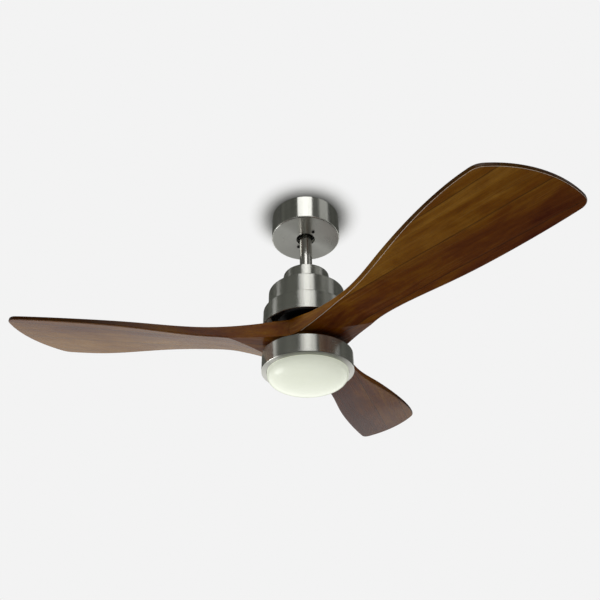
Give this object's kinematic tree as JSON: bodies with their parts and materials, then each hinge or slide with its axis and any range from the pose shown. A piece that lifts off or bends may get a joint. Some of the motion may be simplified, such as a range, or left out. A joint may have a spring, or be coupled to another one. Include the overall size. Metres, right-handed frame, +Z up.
{
  "type": "ceiling fan with light",
  "caption": "Ceiling fan with carved wooden blades on a stepped brushed-nickel motor housing, a drum canopy, a short downrod and a round opal light under the hub.",
  "frame": {"origin": "on the fan's axis at the ceiling surface, in the middle of the ceiling bracket's two slots", "axes": "+Z up into the ceiling, the fan hangs along -Z; +X along the bracket's slots; +Y away from the viewer"},
  "size_m": [0.935, 0.9789, 0.4295],
  "materials": {
    "zinc_steel": "zinc-plated sheet, dull",
    "nickel": "brushed satin nickel plate",
    "rod_nickel": "finely brushed nickel tube, brighter than the shells",
    "dark_screw": "blackened steel",
    "white_plastic": "moulded white plastic",
    "grey_plastic": "moulded light grey plastic",
    "black_nylon": "moulded black nylon",
    "steel": "bright zinc-plated steel",
    "cast_grey": "grey painted casting",
    "bearing_steel": "ground and polished",
    "core_steel": "stacked steel laminations",
    "copper": "enamelled copper wire",
    "aluminium": "spun, plain",
    "board_white": "white solder mask",
    "led_yellow": "phosphor",
    "wire_sleeve": "wire insulation",
    "black_paint": "black powder coat",
    "magnet_grey": "ferrite",
    "cage_brass": "pressed",
    "walnut": "oiled satin walnut",
    "opal": "opal white, satin gloss"
  },
  "bodies": {
    "ceiling": {"hanger_bracket": "zinc_steel", "canopy": "nickel", "canopy_screws": "dark_screw", "remote_receiver": "white_plastic", "terminal_block": "white_plastic"},
    "ball": {"hanger_ball": "black_nylon"},
    "hanging": {"downrod": "rod_nickel", "hanger_pin": "steel", "rod_coupler": "cast_grey", "coupler_pin": "steel", "coupler_clip": "steel", "set_screws": "steel", "coupler_screws": "steel", "coupler_cover": "nickel", "upper_housing": "nickel", "lower_housing": "nickel", "motor_shaft": "steel", "bearing_inner_races": "bearing_steel", "stator_core": "core_steel", "stator_windings": "copper", "light_pan": "nickel", "shaft_nut": "steel", "led_driver": "grey_plastic", "tray_posts": "aluminium", "led_tray": "aluminium", "led_board": "board_white", "led_chips": "led_yellow", "wire_plug": "white_plastic", "lead_wires": "wire_sleeve"},
    "rotor": {"rotor_top": "black_paint", "rotor_bottom": "black_paint", "rotor_screws": "steel", "magnets": "magnet_grey", "bearing_outer_races": "bearing_steel", "bearing_balls": "bearing_steel", "bearing_cages": "cage_brass", "blade_carrier": "black_paint", "blade_1": "walnut", "blade_2": "walnut", "blade_3": "walnut", "clamp_plate": "black_paint", "blade_screws": "dark_screw"},
    "dome": {"opal_dome": "opal"}
  },
  "joints": [
    {"name": "ball_swing", "type": "hinge", "parent": "ceiling", "child": "ball", "pos_m": [0, 0, -0.034], "axis": [1, 0, 0], "range_deg": [-6, 6]},
    {"name": "rod_swing", "type": "hinge", "parent": "ball", "child": "hanging", "pos_m": [0, 0, -0.034], "axis": [0, 1, 0], "range_deg": [-6, 6]},
    {"name": "rotor_spin", "type": "hinge", "parent": "hanging", "child": "rotor", "pos_m": [0, 0, -0.32], "axis": [0, 0, 1], "continuous": true},
    {"name": "dome_twist", "type": "hinge", "parent": "hanging", "child": "dome", "pos_m": [0, 0, -0.4], "axis": [0, 0, 1], "range_deg": [0, 24]}
  ]
}
